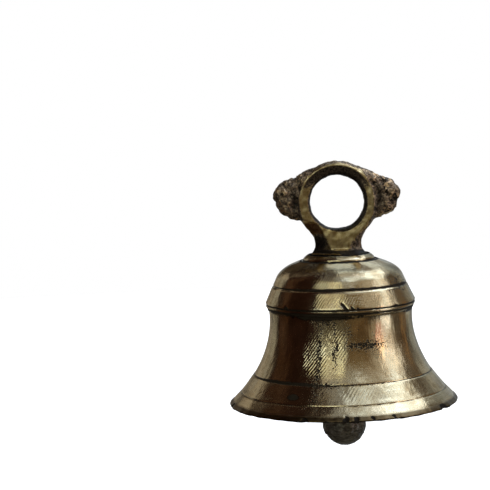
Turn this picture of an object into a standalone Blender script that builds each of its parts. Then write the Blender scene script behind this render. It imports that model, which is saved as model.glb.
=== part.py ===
"""Brass puja bell: a turned bell under a cast ring handle, with a clapper hung on a loose link.

Metres, +Z up. The origin is the centre of the handle's eye, where the bell hangs.
Every height named _H is measured up from the plane of the bell's mouth.
"""

from math import cos, copysign, pi, sin, sqrt

import bmesh
import bpy
from mathutils import Vector
from mathutils.geometry import interpolate_bezier

GAP = 0.0003  # clearance between pieces that touch

# Bell shell
MOUTH_RADIUS = 0.0431
LIP_WIDTH = 0.0042
WAIST_RADIUS = 0.02676
WAIST_H = 0.032
FLANGE_RADIUS = 0.0281
FLANGE_H = 0.0382
SHOULDER_RADIUS = 0.0236
SHOULDER_H = 0.048
CROWN_RADIUS = 0.0141
CROWN_H = 0.0559
CROWN_INSIDE_H = 0.0518
WALL = 0.0033
SEAT_DEPTH = 0.0005  # recess that the handle's foot stands in

# Ring handle
EYE_H = 0.0754
EYE_RADIUS = 0.00985
RING_RADIUS = 0.0152
RING_DEPTH = 0.0087  # across the cast round, before its two faces were filed
FILED_DEPTH = 0.0072  # between the two filed flat faces
NECK_WIDTH = 0.0161
NECK_H = 0.0605
FOOT_RADIUS = 0.0111
FOOT_EDGE_H = 0.0560
RING_FILLET = 0.0035
EAR_DEPTH = 0.0078

# Clapper hanger
STUD_RADIUS = 0.0020
STUD_TOP_H = 0.0613
WASHER_RADIUS = 0.0080
WASHER_THICKNESS = 0.0010
NUT_FLATS = 0.0080
NUT_HEIGHT = 0.0028
HANGER_EYE_RADIUS = 0.0032
HANGER_WIRE = 0.0012

# Link between the hanger and the clapper
LINK_WIRE = 0.0009
LINK_END_RADIUS = 0.0029
LINK_STRAIGHT = 0.0022

# Clapper
ROD_EYE_RADIUS = 0.0029
ROD_EYE_WIRE = 0.0011
ROD_RADIUS = 0.0013
ROD_END_H = -0.0057
BOB_RADIUS = 0.0082
BOB_H = -0.0093  # centre of the bob's ball
BOB_NECK_RADIUS = 0.0031
BOB_TOP_H = 0.0016
MOULD_STEP = 0.0003  # by which the ball's lower half is narrower than its upper half

TURNED_STEPS = 48
FINE_STEPS = 24
WIRE_SIDES = 10

# Heights that follow from the sizes above
SEAT_H = CROWN_H - SEAT_DEPTH
FOOT_H = SEAT_H + GAP
WASHER_H = CROWN_INSIDE_H - GAP - WASHER_THICKNESS
NUT_H = WASHER_H - GAP - NUT_HEIGHT
HANGER_EYE_H = NUT_H - GAP - HANGER_EYE_RADIUS - HANGER_WIRE
LINK_PIVOT_H = HANGER_EYE_H - HANGER_EYE_RADIUS
LINK_TOP_H = LINK_PIVOT_H + HANGER_WIRE + GAP + LINK_WIRE
LINK_H = LINK_TOP_H - LINK_STRAIGHT / 2 - LINK_END_RADIUS
CLAPPER_PIVOT_H = LINK_TOP_H - LINK_STRAIGHT - 2 * LINK_END_RADIUS
ROD_EYE_H = CLAPPER_PIVOT_H + LINK_WIRE + GAP + ROD_EYE_WIRE - ROD_EYE_RADIUS


def clear_scene():
    for obj in list(bpy.data.objects):
        bpy.data.objects.remove(obj, do_unlink=True)


def metal(name, color, roughness):
    material = bpy.data.materials.new(name)
    material.use_nodes = True
    shader = material.node_tree.nodes["Principled BSDF"]
    shader.inputs["Base Color"].default_value = (*color, 1)
    shader.inputs["Metallic"].default_value = 1
    shader.inputs["Roughness"].default_value = roughness
    return material


def pivot(name, height, parent=None):
    """An empty on the bell's axis. Returns it and its height, for add() to place pieces under it."""
    empty = bpy.data.objects.new(name, None)
    bpy.context.scene.collection.objects.link(empty)
    empty.empty_display_size = 0.01
    empty.location.z = height - EYE_H
    if parent:
        empty.parent = parent[0]
        empty.location.z = height - parent[1]
    return empty, height


def add(name, mesh, under):
    """A new object whose mesh is in heights above the mouth, parented to an empty."""
    obj = bpy.data.objects.new(name, mesh)
    bpy.context.scene.collection.objects.link(obj)
    obj.parent, height = under
    obj.location.z = -height
    return obj


def finish(obj, material):
    obj.data.materials.append(material)
    obj.data.shade_smooth()
    obj.data.set_sharp_from_angle(angle=0.6)


def combine(obj, other, operation):
    """Keeps other as a hidden helper and applies it to obj as a live Boolean."""
    other.hide_render = True
    other.display_type = "WIRE"
    modifier = obj.modifiers.new(other.name, "BOOLEAN")
    modifier.operation = operation
    modifier.object = other


def bend(start, start_pull, end_pull, end, steps):
    """Points of one Bezier curve in a plane, without its first point."""
    knots = [Vector((*point, 0)) for point in (start, start_pull, end_pull, end)]
    return [(point.x, point.y) for point in interpolate_bezier(*knots, steps + 1)[1:]]


def turned(name, outline, under, steps=TURNED_STEPS):
    """The outline (radius, height), top to bottom on its outer side, turned round the axis."""
    mesh = bpy.data.meshes.new(name)
    last = len(outline) - 1
    edges = [(i, i + 1) for i in range(last)]
    starts_on_axis = outline[0][0] == 0
    if not starts_on_axis:
        edges.append((last, 0))
    mesh.from_pydata([(radius, 0, height) for radius, height in outline], edges, [])
    obj = add(name, mesh, under)
    screw = obj.modifiers.new("turn", "SCREW")
    screw.steps = screw.render_steps = steps
    screw.use_merge_vertices = True
    screw.merge_threshold = 0.00001
    return obj


def loft(name, loops, under, closed=False):
    """A mesh through loops of equally many points, joined end to end or capped at both ends."""
    shape = bmesh.new()
    rows = [[shape.verts.new(point) for point in loop] for loop in loops]
    pairs = list(zip(rows, rows[1:]))
    if closed:
        pairs.append((rows[-1], rows[0]))
    else:
        shape.faces.new(rows[0])
        shape.faces.new(rows[-1])
    for row, other in pairs:
        for i in range(len(row)):
            shape.faces.new((row[i - 1], row[i], other[i], other[i - 1]))
    bmesh.ops.recalc_face_normals(shape, faces=shape.faces)
    mesh = bpy.data.meshes.new(name)
    shape.to_mesh(mesh)
    shape.free()
    return add(name, mesh, under)


def round_angles(count):
    return [2 * pi * (i + 0.5) / count for i in range(count)]


def filed_oval(half_width, half_depth, half_flat, count=FINE_STEPS):
    """An oval section (across, depth) whose front and back are filed flat."""
    angles = round_angles(count)
    return [
        (half_width * cos(a), max(-half_flat, min(half_flat, half_depth * sin(a)))) for a in angles
    ]


def wire_loop(name, end_radius, straight, wire, height, plane, under):
    """A closed round-wire loop with straight sides, standing in the XZ or the YZ plane."""
    loops = []
    for a in round_angles(FINE_STEPS):
        shift = copysign(straight / 2, sin(a))
        loop = []
        for b in round_angles(WIRE_SIDES):
            reach = end_radius + wire * cos(b)
            across, off = reach * cos(a), wire * sin(b)
            point = (across, off) if plane == "XZ" else (off, across)
            loop.append((*point, height + shift + reach * sin(a)))
        loops.append(loop)
    return loft(name, loops, under, closed=True)


def rod_shape(name, radius, top, bottom, chamfer, under):
    """A round bar on the axis with both ends chamfered."""
    outline = [(0, top), (radius - chamfer, top), (radius, top - chamfer)]
    outline += [(radius, bottom + chamfer), (radius - chamfer, bottom), (0, bottom)]
    return turned(name, outline, under, steps=20)


def shell_outside():
    """Down the outside of the bell, from the edge of the bolt hole to the lip."""
    line = [(STUD_RADIUS + GAP, SEAT_H), (FOOT_RADIUS + GAP, SEAT_H)]
    line += [(FOOT_RADIUS + GAP, CROWN_H), (CROWN_RADIUS, CROWN_H - 0.0013)]
    groove = (CROWN_RADIUS + 0.0004, CROWN_H - 0.0021)
    dome = (CROWN_RADIUS + 0.0010, CROWN_H - 0.0017)
    shoulder = (SHOULDER_RADIUS, SHOULDER_H)
    line += [groove, dome]
    line += bend(dome, (0.0189, 0.0523), (0.0228, 0.0506), shoulder, 6)
    # Scribed line on the tapered band, then the taper down to the flange
    line += [(0.0251, 0.0446), (0.0249, 0.0443), (0.0255, 0.0439)]
    line += [(FLANGE_RADIUS, FLANGE_H), (FLANGE_RADIUS - 0.0005, FLANGE_H - 0.0005)]
    # Bead under the flange and the small step below it
    line += [(FLANGE_RADIUS - 0.0001, FLANGE_H - 0.0009), (FLANGE_RADIUS - 0.0001, FLANGE_H - 0.0015)]
    line += [(0.0275, 0.0363), (0.0273, 0.0356), (0.0270, 0.0354)]
    waist = (WAIST_RADIUS, WAIST_H)
    line += bend(line[-1], (WAIST_RADIUS + 0.0001, 0.0345), (WAIST_RADIUS, 0.0335), waist, 2)
    # Flare, broken by one step and one scribed line
    line += bend(waist, (WAIST_RADIUS, 0.0255), (0.0292, 0.0180), (0.0332, 0.0118), 6)
    line += [(0.0333, 0.0115), (0.0337, 0.0112), (0.0372, 0.0066)]
    line += [(0.0385, 0.0051), (0.0386, 0.0048), (0.0390, 0.0047)]
    line += [(0.0407, 0.0027), (MOUTH_RADIUS, 0.0003), (MOUTH_RADIUS - 0.0004, 0)]
    return line


def shell_inside():
    """Up the inside of the bell, from the lip to the edge of the bolt hole."""
    lip = (MOUTH_RADIUS - LIP_WIDTH, 0.0005)
    waist = (WAIST_RADIUS - WALL, WAIST_H - 0.001)
    crown = (0.0135, CROWN_INSIDE_H)
    line = [(lip[0] + 0.0006, 0), lip]
    line += bend(lip, (0.0316, 0.0084), (waist[0], 0.0185), waist, 6)
    line += bend(waist, (waist[0], 0.0390), (0.0215, CROWN_INSIDE_H), crown, 5)
    return line + [(STUD_RADIUS + GAP, CROWN_INSIDE_H)]


def bell_shell(under, brass):
    shell = turned("bell_shell", shell_outside() + shell_inside(), under)
    finish(shell, brass)


def handle_ring(under):
    """The eye's ring: an oval bar bent round, with its front and back filed flat."""
    centre_line = (RING_RADIUS + EYE_RADIUS) / 2
    half_bar = (RING_RADIUS - EYE_RADIUS) / 2
    section = filed_oval(half_bar, RING_DEPTH / 2, FILED_DEPTH / 2, 16)
    loops = []
    for a in round_angles(TURNED_STEPS):
        loops.append(
            [((centre_line + r) * cos(a), y, EYE_H + (centre_line + r) * sin(a)) for r, y in section]
        )
    return loft("handle_loop", loops, under, closed=True)


def handle_neck(under):
    """The neck: a round foot that draws in to a filed oval and flares again into the ring."""
    half_neck = NECK_WIDTH / 2
    sections = [(FOOT_H, FOOT_RADIUS, FOOT_RADIUS, FOOT_RADIUS)]
    for i in range(6):
        s, c = sin(pi / 10 * i), cos(pi / 10 * i)
        half_width = FOOT_RADIUS - (FOOT_RADIUS - half_neck) * s
        half_depth = FOOT_RADIUS - (FOOT_RADIUS - RING_DEPTH / 2) * s
        half_flat = FOOT_RADIUS - (FOOT_RADIUS - FILED_DEPTH / 2) * s
        sections.append((NECK_H - (NECK_H - FOOT_EDGE_H) * c, half_width, half_depth, half_flat))
    fillet_x = half_neck + RING_FILLET
    fillet_h = EYE_H - sqrt((RING_RADIUS + RING_FILLET) ** 2 - fillet_x**2)
    for i in range(5):
        a = 0.9 * i / 4
        half_width = fillet_x - RING_FILLET * cos(a)
        height = fillet_h + RING_FILLET * sin(a)
        sections.append((height, half_width, RING_DEPTH / 2, FILED_DEPTH / 2))
    sections.append((height + 0.0008, half_width - 0.0006, RING_DEPTH / 2, FILED_DEPTH / 2))
    loops = []
    for height, half_width, half_depth, half_flat in sections:
        section = filed_oval(half_width, half_depth, half_flat)
        loops.append([(x, y, height) for x, y in section])
    return loft("handle_neck", loops, under)


def smooth_loop(points, steps):
    """A closed curve through the points, each stretch a Bezier that heads for the points around it."""
    loop = []
    for i, point in enumerate(points):
        before, after, beyond = (Vector(points[(i + k) % len(points)]) for k in (-1, 1, 2))
        point = Vector(point)
        pull, end_pull = point + (after - before) / 6, after - (beyond - point) / 6
        loop += bend(point, pull, end_pull, after, steps)
    return loop


def handle_ear(side, under):
    """A rough cast lump on one side of the ring: a pillow over its outline. side is 1 or -1."""
    centre = Vector((0.0165, 0.0035))
    corners = [(0.0055, 0.0142), (0.0111, 0.0123), (0.0185, 0.0085), (0.0232, 0.0034), (0.0211, -0.0019)]
    corners += [(0.0170, -0.0049), (0.0132, -0.0052), (0.0129, 0.0020), (0.0088, 0.0098)]
    outline = [Vector(point) for point in smooth_loop(corners, 3)]
    loops = []
    for i in range(-3, 4):
        a = pi / 2 * i / 3.4
        layer = [centre + (point - centre) * cos(a) ** 0.6 for point in outline]
        loops.append([(side * x, EAR_DEPTH / 2 * sin(a), EYE_H + z) for x, z in layer])
    return loft("ear_right" if side > 0 else "ear_left", loops, under)


def handle_loop(under, brass):
    handle = handle_ring(under)
    combine(handle, handle_neck(under), "UNION")
    for side in (1, -1):
        combine(handle, handle_ear(side, under), "UNION")
    socket_end = STUD_TOP_H + GAP
    socket = rod_shape("stud_socket", STUD_RADIUS + GAP, socket_end, FOOT_H - 0.002, 0.0005, under)
    combine(handle, socket, "DIFFERENCE")
    finish(handle, brass)


def hanger_bolt(under, iron):
    eye_top = HANGER_EYE_H + HANGER_EYE_RADIUS
    bolt = rod_shape("hanger_bolt", STUD_RADIUS, STUD_TOP_H, eye_top, 0.0004, under)
    eye = wire_loop("hanger_eye", HANGER_EYE_RADIUS, 0, HANGER_WIRE, HANGER_EYE_H, "XZ", under)
    combine(bolt, eye, "UNION")
    finish(bolt, iron)


def crown_washer(under, iron):
    hole, edge = STUD_RADIUS + GAP, 0.0002
    top = WASHER_H + WASHER_THICKNESS
    outline = [(hole, top), (WASHER_RADIUS - edge, top), (WASHER_RADIUS, top - edge)]
    outline += [(WASHER_RADIUS, WASHER_H + edge), (WASHER_RADIUS - edge, WASHER_H), (hole, WASHER_H)]
    finish(turned("crown_washer", outline, under, steps=32), iron)


def hanger_nut(under, iron):
    corner = NUT_FLATS / 2 / cos(pi / 6)
    loops = []
    for height, reach in ((0, 0.93), (0.0004, 1), (NUT_HEIGHT - 0.0004, 1), (NUT_HEIGHT, 0.93)):
        angles = [pi / 3 * i for i in range(6)]
        loops.append([(corner * reach * cos(a), corner * reach * sin(a), NUT_H + height) for a in angles])
    nut = loft("hanger_nut", loops, under)
    hole = rod_shape("nut_hole", STUD_RADIUS + GAP, NUT_H + 0.006, NUT_H - 0.003, 0.0001, under)
    combine(nut, hole, "DIFFERENCE")
    finish(nut, iron)


def clapper_link(under, iron):
    link = wire_loop("clapper_link", LINK_END_RADIUS, LINK_STRAIGHT, LINK_WIRE, LINK_H, "YZ", under)
    finish(link, iron)


def clapper_rod(under, iron):
    rod = rod_shape("clapper_rod", ROD_RADIUS, ROD_EYE_H - ROD_EYE_RADIUS, ROD_END_H, 0.0003, under)
    eye = wire_loop("rod_eye", ROD_EYE_RADIUS, 0, ROD_EYE_WIRE, ROD_EYE_H, "XZ", under)
    combine(rod, eye, "UNION")
    finish(rod, iron)


def clapper_bob(under, iron):
    """A cast ball with a blind bore for the rod in its neck. A mould line runs round it below its middle."""
    bore, bore_end = ROD_RADIUS + GAP, ROD_END_H - GAP
    shoulder_angle, seam_angle = 0.95, -0.33
    shoulder = (BOB_RADIUS * cos(shoulder_angle), BOB_H + BOB_RADIUS * sin(shoulder_angle))
    outline = [(0, bore_end), (bore, bore_end), (bore, BOB_TOP_H), (BOB_NECK_RADIUS, BOB_TOP_H)]
    outline += bend(outline[-1], (BOB_NECK_RADIUS, 0), (0.0038, -0.0019), shoulder, 3)
    for i in range(1, 7):
        a = shoulder_angle + (seam_angle - shoulder_angle) * i / 6
        outline.append((BOB_RADIUS * cos(a), BOB_H + BOB_RADIUS * sin(a)))
    for i in range(7):
        a = seam_angle - (pi / 2 + seam_angle) * i / 7
        outline.append(((BOB_RADIUS - MOULD_STEP) * cos(a), BOB_H + BOB_RADIUS * sin(a)))
    outline.append((0, BOB_H - BOB_RADIUS))
    finish(turned("clapper_bob", outline, under, steps=32), iron)


def main():
    clear_scene()
    turned_brass = metal("turned_brass", (0.72, 0.56, 0.30), 0.25)
    cast_brass = metal("cast_brass", (0.45, 0.35, 0.20), 0.45)
    forged_iron = metal("forged_iron", (0.16, 0.15, 0.14), 0.55)
    cast_iron = metal("cast_iron", (0.09, 0.08, 0.07), 0.65)
    bell = pivot("mouth_plane", 0)
    link = pivot("link_pivot", LINK_PIVOT_H, bell)
    clapper = pivot("clapper_pivot", CLAPPER_PIVOT_H, link)
    bell_shell(bell, turned_brass)
    handle_loop(bell, cast_brass)
    hanger_bolt(bell, forged_iron)
    crown_washer(bell, forged_iron)
    hanger_nut(bell, forged_iron)
    clapper_link(link, forged_iron)
    clapper_rod(clapper, forged_iron)
    clapper_bob(clapper, cast_iron)


main()
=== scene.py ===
"""The looks of the brass puja bell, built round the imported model.

Shapes are worked out in millimetres: heights are above the plane of the bell's mouth, and the
axis of the bell is the origin. The front is -Y. Angles round the bell run from the front
towards +X. The turned bell is a lathed grid. Every other piece is carved: it is the surface where
a field of signed distances is zero, so lumps, fillets and file cuts can be added to one another.
"""

from math import cos, pi, radians, sin, sqrt

import bpy
import numpy as np
from mathutils import Matrix, Vector


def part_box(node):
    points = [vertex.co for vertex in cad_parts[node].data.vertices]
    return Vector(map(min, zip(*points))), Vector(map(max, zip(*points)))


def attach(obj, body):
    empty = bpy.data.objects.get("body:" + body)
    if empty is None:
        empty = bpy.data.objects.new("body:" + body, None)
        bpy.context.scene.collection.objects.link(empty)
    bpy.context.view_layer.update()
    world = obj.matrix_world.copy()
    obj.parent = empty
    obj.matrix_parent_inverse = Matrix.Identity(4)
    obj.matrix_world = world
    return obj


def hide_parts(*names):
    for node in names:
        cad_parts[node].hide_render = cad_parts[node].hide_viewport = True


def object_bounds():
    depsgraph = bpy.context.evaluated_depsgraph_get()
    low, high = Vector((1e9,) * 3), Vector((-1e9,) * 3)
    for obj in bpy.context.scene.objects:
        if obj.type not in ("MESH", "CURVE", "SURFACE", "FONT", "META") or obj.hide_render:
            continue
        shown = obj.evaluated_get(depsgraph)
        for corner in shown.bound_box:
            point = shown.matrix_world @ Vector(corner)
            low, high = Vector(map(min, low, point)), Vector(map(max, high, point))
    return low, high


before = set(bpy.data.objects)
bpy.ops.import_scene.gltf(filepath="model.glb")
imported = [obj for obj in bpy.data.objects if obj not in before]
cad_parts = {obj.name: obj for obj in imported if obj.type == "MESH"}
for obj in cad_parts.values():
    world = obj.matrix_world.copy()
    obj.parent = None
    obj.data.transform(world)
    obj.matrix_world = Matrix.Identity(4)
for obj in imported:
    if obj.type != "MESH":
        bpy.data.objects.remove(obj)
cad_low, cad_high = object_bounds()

MM = 0.001
MOUTH_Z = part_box("bell_shell")[0].z / MM


def cad(node):
    """The lowest and highest corner of a CAD node, in millimetres above the mouth."""
    return [np.array(corner) / MM - (0, 0, MOUTH_Z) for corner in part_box(node)]


# ---------------------------------------------------------------- outlines and noise


def bend(start, start_pull, end_pull, end, steps):
    """Points of one Bezier curve in a plane, without its first point."""
    t = np.linspace(0, 1, steps + 1)[1:, None]
    a, b, c, d = (np.array(point, float) for point in (start, start_pull, end_pull, end))
    line = (1 - t) ** 3 * a + 3 * t * (1 - t) ** 2 * b + 3 * t**2 * (1 - t) * c + t**3 * d
    return [tuple(point) for point in line]


def soften(line, reach):
    """Rounds each sharp corner of an open line over that reach, and keeps its ends."""
    line = [np.array(point, float) for point in line]
    rounded = [line[0]]
    for before, corner, after in zip(line, line[1:], line[2:]):
        back, ahead = before - corner, after - corner
        back_length, ahead_length = np.linalg.norm(back), np.linalg.norm(ahead)
        if back @ ahead < -0.985 * back_length * ahead_length:
            rounded.append(corner)
            continue
        enter = corner + back / back_length * min(reach, 0.4 * back_length)
        leave = corner + ahead / ahead_length * min(reach, 0.4 * ahead_length)
        rounded += [enter, 0.25 * enter + 0.5 * corner + 0.25 * leave, leave]
    return rounded + [line[-1]]


def resample(line, spacing):
    """Splits each stretch of a line into steps of about that length."""
    dense = [line[0]]
    for start, end in zip(line, line[1:]):
        steps = max(1, round(np.linalg.norm(end - start) / spacing))
        dense += [start + (end - start) * (i + 1) / steps for i in range(steps)]
    return np.array(dense)


SWELL_WAVES = 28


def swell(points, wavelength, seed):
    """Smooth noise with a spread of about 1: cosine waves of near one length, in random ways."""
    rng = np.random.default_rng(seed)
    ways = rng.normal(size=(SWELL_WAVES, 3))
    ways /= np.linalg.norm(ways, axis=1)[:, None]
    phases = rng.uniform(0, 2 * pi, SWELL_WAVES)
    stretches = rng.uniform(0.7, 1.4, SWELL_WAVES)
    total = np.zeros(len(points))
    for way, phase, stretch in zip(ways, phases, stretches):
        total += np.cos(points @ way * (2 * pi / (wavelength * stretch)) + phase)
    return total / sqrt(SWELL_WAVES / 2)


def smooth_step(low, high, value):
    """Goes smoothly from 0 to 1 as value goes from low to high, and low may be the higher one."""
    t = np.clip((value - low) / (high - low), 0, 1)
    return t * t * (3 - 2 * t)


# ---------------------------------------------------------------- meshes


def new_piece(name, points, faces, body, node, material):
    """A smooth-shaded piece from points in millimetres, which stands for a CAD node."""
    mesh = bpy.data.meshes.new(name)
    placed = (np.array(points, float) + (0, 0, MOUTH_Z)) * MM
    mesh.from_pydata(placed.tolist(), [], faces)
    mesh.shade_smooth()
    mesh.materials.append(material)
    piece = bpy.data.objects.new(name, mesh)
    bpy.context.scene.collection.objects.link(piece)
    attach(piece, body)
    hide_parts(node)
    return piece


def paint(piece, name, values):
    """Keeps one number for each point on the mesh, for its material to read."""
    layer = piece.data.attributes.new(name, "FLOAT", "POINT")
    layer.data.foreach_set("value", np.clip(values, 0, 1).astype(np.float32))


def surface_of(field):
    """Points (in cells) and quads of a grid's zero surface, a point in each cell it crosses."""
    shape = np.array(field.shape) - 1
    total, count, quads = np.zeros((shape.prod(), 3)), np.zeros(shape.prod()), []
    for axis in range(3):
        others = [k for k in range(3) if k != axis]
        near = np.moveaxis(np.moveaxis(field, axis, 0)[:-1], 0, axis)
        far = np.moveaxis(np.moveaxis(field, axis, 0)[1:], 0, axis)
        edges = np.argwhere((near < 0) != (far < 0))
        start, end = near[tuple(edges.T)], far[tuple(edges.T)]
        crossing = edges.astype(float)
        crossing[:, axis] += start / (start - end)
        ring = []
        for step in ((0, 0), (1, 0), (1, 1), (0, 1)):
            cell = edges.copy()
            cell[:, others] -= step
            ring.append(np.ravel_multi_index(cell.T, shape))
            np.add.at(total, ring[-1], crossing)
            np.add.at(count, ring[-1], 1)
        ring = np.stack(ring, axis=1)
        turn_round = (start >= 0) ^ (axis == 1)
        ring[turn_round] = ring[turn_round, ::-1]
        quads.append(ring)
    used = np.flatnonzero(count)
    index = np.zeros(len(count), int)
    index[used] = np.arange(len(used))
    return total[used] / count[used, None], index[np.concatenate(quads)]


# Rough shapes act fully up to NOISE_WHOLE from the surface, and fade out at NOISE_REACH
NOISE_WHOLE, NOISE_REACH = 0.6, 1.3
# How far off the surface a ridge or a hollow is felt for
EDGE_PROBE = 0.45
FILED_EDGE = 0.25
SLOPE_NUDGE = 0.02


def slope_of(field, points, value):
    """The field's unit slope at each point, which is the surface's normal there."""
    steps = SLOPE_NUDGE * np.eye(3)
    slope = np.stack([(field(points + step) - value) / SLOPE_NUDGE for step in steps], axis=1)
    return slope / np.maximum(np.linalg.norm(slope, axis=1), 1e-6)[:, None]


def carve(body, low, high, step, rough, cuts=None):
    """The surface of a distance field: body, made uneven by rough, and then filed away by cuts.

    Returns its points, its quads, and for each point how ridged and how hollow it is, and how
    filed if there are cuts.
    """

    def uneven(points):
        value = body(points)
        near = np.abs(value) < NOISE_REACH
        share = smooth_step(NOISE_REACH, NOISE_WHOLE, np.abs(value[near]))
        value[near] -= rough(points[near]) * share
        return value

    def field(points):
        return uneven(points) if cuts is None else cut(uneven(points), cuts(points), FILED_EDGE)

    axes = [np.arange(a - 2 * step, b + 3 * step, step) for a, b in zip(low, high)]
    grid = np.stack(np.meshgrid(*axes, indexing="ij"), axis=-1)
    points, quads = surface_of(field(grid.reshape(-1, 3)).reshape(grid.shape[:3]))
    points = points * step + [axis[0] for axis in axes]
    for _ in range(2):
        value = field(points)
        points -= np.clip(value, -step, step)[:, None] * slope_of(field, points, value)
    normal = slope_of(field, points, field(points))
    ridged = (field(points - normal * EDGE_PROBE) + EDGE_PROBE) / EDGE_PROBE
    hollow = (EDGE_PROBE - field(points + normal * EDGE_PROBE)) / EDGE_PROBE
    marks = {"ridged": ridged * 2, "hollow": hollow * 2}
    if cuts is not None:
        marks["filed"] = smooth_step(-0.1, 0.05, cuts(points) - uneven(points))
    return points, quads.tolist(), marks


def join(field, other, reach):
    """The union of two fields, with a fillet of about that reach."""
    share = np.clip(0.5 + 0.5 * (other - field) / reach, 0, 1)
    return other + (field - other) * share - reach * share * (1 - share)


def cut(field, other, reach):
    """What two fields have in common, with the edge between them rounded over that reach."""
    return -join(-field, -other, reach)


def oval(across, deep, half_width, half_depth):
    """Roughly the distance from an oval of that half width and half depth."""
    size = np.hypot(across / half_width, deep / half_depth)
    slope = np.hypot(across / half_width**2, deep / half_depth**2)
    return size * (size - 1) / np.maximum(slope, 1e-3)


def blob(points, centre, radii, lean):
    """Roughly the distance from an egg of those radii. Its long way leans by that many degrees."""
    x, y, z = (points - centre).T
    c, s = cos(radians(lean)), sin(radians(lean))
    scaled = np.stack([x * c + z * s, y, z * c - x * s], axis=1) / radii
    size = np.linalg.norm(scaled, axis=1)
    return size * (size - 1) / np.maximum(np.linalg.norm(scaled / radii, axis=1), 1e-3)


EDGE_ROUNDING = 0.3


def bar(points, radius, low_h, high_h, rounding=EDGE_ROUNDING):
    """The distance from a round bar on the axis, with softened ends."""
    side = np.hypot(points[:, 0], points[:, 1]) - radius
    end = np.maximum(points[:, 2] - high_h, low_h - points[:, 2])
    return cut(side, end, rounding)


# ---------------------------------------------------------------- material nodes


class Nodes:
    """Builds a node tree. Each call takes numbers or other outputs, and returns an output."""

    def __init__(self, tree):
        self.tree = tree

    def add(self, kind, inputs=(), output=0, **settings):
        node = self.tree.nodes.new("ShaderNode" + kind)
        for name, value in settings.items():
            setattr(node, name, value)
        for slot, value in dict(inputs).items():
            self.feed(node.inputs[slot], value)
        return node.outputs[output]

    def feed(self, socket, value):
        if isinstance(value, bpy.types.NodeSocket):
            self.tree.links.new(value, socket)
        else:
            socket.default_value = value

    def math(self, operation, *values):
        return self.add("Math", enumerate(values), operation=operation)

    def times(self, value, factor):
        return self.math("MULTIPLY", value, factor)

    def sum(self, *values):
        total = values[0]
        for value in values[1:]:
            total = self.math("ADD", total, value)
        return total

    def step(self, value, low, high, start=0, end=1):
        """Goes smoothly from start to end as value goes from low to high."""
        inputs = {0: value, 1: low, 2: high, 3: start, 4: end}
        return self.add("MapRange", inputs, interpolation_type="SMOOTHSTEP")

    def mix(self, share, start, end):
        """Mixes two colours."""
        return self.add("Mix", {0: share, 6: start, 7: end}, 2, data_type="RGBA")

    def noise(self, vector, scale, detail=2, roughness=0.5, distortion=0):
        inputs = {"Vector": vector, "Scale": scale, "Detail": detail}
        inputs |= {"Roughness": roughness, "Distortion": distortion}
        return self.add("TexNoise", inputs)

    def attribute(self, name):
        return self.add("Attribute", (), "Fac", attribute_name=name)

    def stretched(self, vector, x, y, z):
        return self.add("Mapping", {"Vector": vector, "Scale": (x, y, z)})


def rgb(red, green, blue):
    return (red, green, blue, 1)


def new_material(name):
    """A material, its node builder, its shader, and the surface's own place in millimetres."""
    material = bpy.data.materials.new(name)
    material.use_nodes = True
    nodes = Nodes(material.node_tree)
    shader = material.node_tree.nodes["Principled BSDF"]
    place = nodes.stretched(nodes.add("TexCoord", (), "Object"), 1 / MM, 1 / MM, 1 / MM)
    return material, nodes, shader, place


def set_shader(nodes, shader, **values):
    """Sets the shader's sockets, whose names are written with _ for a space."""
    for name, value in values.items():
        nodes.feed(shader.inputs[name.replace("_", " ")], value)


def bump(nodes, height):
    """A normal from a height in millimetres."""
    return nodes.add("Bump", {"Height": height, "Distance": MM, "Strength": 1})


# Tool chatter: its waves round the bell, and how much height and noise shift them, in radians
CHATTER_WAVES, CHATTER_CLIMB, CHATTER_DRIFT = 162, -3.9, 6.0
# Heights in millimetres of the marks on the turned brass
CHATTER_HEIGHT, LINE_HEIGHT, FINE_LINE_HEIGHT = 0.062, 0.026, 0.006
PIT_HEIGHT, BLOTCH_HEIGHT, STREAK_HEIGHT = -0.10, 0.04, 0.065
YELLOW_BRASS, PALE_BRASS = rgb(0.72, 0.59, 0.36), rgb(0.80, 0.68, 0.44)
STAIN_BROWN, LINE_BROWN = rgb(0.42, 0.29, 0.13), rgb(0.40, 0.29, 0.15)
LIP_BROWN, GRIME_BLACK = rgb(0.10, 0.062, 0.024), rgb(0.010, 0.007, 0.005)


def chatter_wave(nodes, place):
    """Slanting ripples, which are strong where the chatter attribute is high."""
    x, y, z = (nodes.add("SeparateXYZ", {0: place}, k) for k in range(3))
    angle = nodes.math("ARCTAN2", x, nodes.times(y, -1))
    phase = nodes.sum(
        nodes.times(angle, CHATTER_WAVES),
        nodes.times(z, CHATTER_CLIMB),
        nodes.times(nodes.noise(place, 0.22, 2), CHATTER_DRIFT),
    )
    broken = nodes.step(nodes.noise(place, 0.6, 2), 0.3, 0.6, 0.25, 1)
    chatter = nodes.times(nodes.attribute("chatter"), broken)
    return nodes.times(nodes.math("SINE", phase), chatter)


def pits(nodes, place, scale, reach):
    """Round pits, most of them where the pitting attribute is high."""
    distance = nodes.add("TexVoronoi", {"Vector": place, "Scale": scale})
    chance = nodes.add("TexVoronoi", {"Vector": place, "Scale": scale}, 1)
    chance = nodes.add("SeparateColor", {0: chance})
    size = nodes.times(nodes.math("SUBTRACT", nodes.attribute("pitting"), chance), reach)
    return nodes.step(nodes.math("SUBTRACT", size, distance), -0.02, 0.06)


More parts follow.
